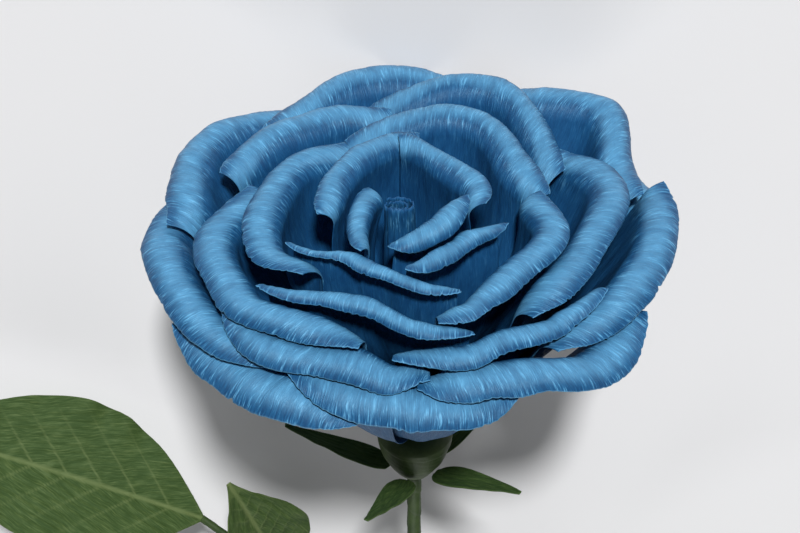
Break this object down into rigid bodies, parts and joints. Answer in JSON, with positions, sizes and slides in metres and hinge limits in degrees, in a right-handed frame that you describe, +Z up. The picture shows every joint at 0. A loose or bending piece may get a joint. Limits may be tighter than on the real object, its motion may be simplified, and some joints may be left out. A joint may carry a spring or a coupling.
{
  "type": "crepe paper rose",
  "caption": "Handmade crepe paper rose with layered, rolled petals on a tape-wrapped wire stem with sepals and leaves, lying on its side as it rests on a table.",
  "frame": {"origin": "bottom centre of the bounding box, on the surface that the rose lies on", "axes": "+Z up; +Y along the stem towards the bloom, level; +X to the right of someone who looks from the stem's end to the bloom"},
  "size_m": [0.2506, 0.2906, 0.1079],
  "materials": {
    "crepe_blue": "matt, finely crinkled crepe paper",
    "cotton_core": "matt pressed cotton",
    "tape_green": "waxed crepe tape, slightly sheened",
    "leaf_green": "matt crepe paper",
    "wire_steel": "bare drawn wire"
  },
  "bodies": {
    "root": {"petal_bud": "crepe_blue", "petal_01": "crepe_blue", "petal_02": "crepe_blue", "petal_03": "crepe_blue", "petal_04": "crepe_blue", "petal_05": "crepe_blue", "petal_06": "crepe_blue", "petal_07": "crepe_blue", "petal_08": "crepe_blue", "petal_09": "crepe_blue", "petal_10": "crepe_blue", "petal_11": "crepe_blue", "petal_12": "crepe_blue", "petal_13": "crepe_blue", "petal_14": "crepe_blue", "petal_15": "crepe_blue", "petal_16": "crepe_blue", "petal_17": "crepe_blue", "petal_18": "crepe_blue", "petal_19": "crepe_blue", "petal_20": "crepe_blue", "petal_21": "crepe_blue", "petal_22": "crepe_blue", "petal_23": "crepe_blue", "petal_24": "crepe_blue", "petal_25": "crepe_blue", "bud_core": "cotton_core", "calyx_cup": "tape_green", "stem_tape": "tape_green", "stem_wire": "wire_steel", "sepal_1": "tape_green", "sepal_2": "tape_green", "sepal_3": "tape_green", "sepal_4": "tape_green", "sepal_5": "tape_green", "leaf_left_stalk": "tape_green", "leaf_left_tape_band": "tape_green", "leaf_left_end_leaflet": "leaf_green", "leaf_left_lower_leaflet": "leaf_green", "leaf_left_upper_leaflet": "leaf_green", "leaf_right_stalk": "tape_green", "leaf_right_tape_band": "tape_green", "leaf_right_end_leaflet": "leaf_green", "leaf_right_lower_leaflet": "leaf_green", "leaf_right_upper_leaflet": "leaf_green"}
  },
  "joints": []
}
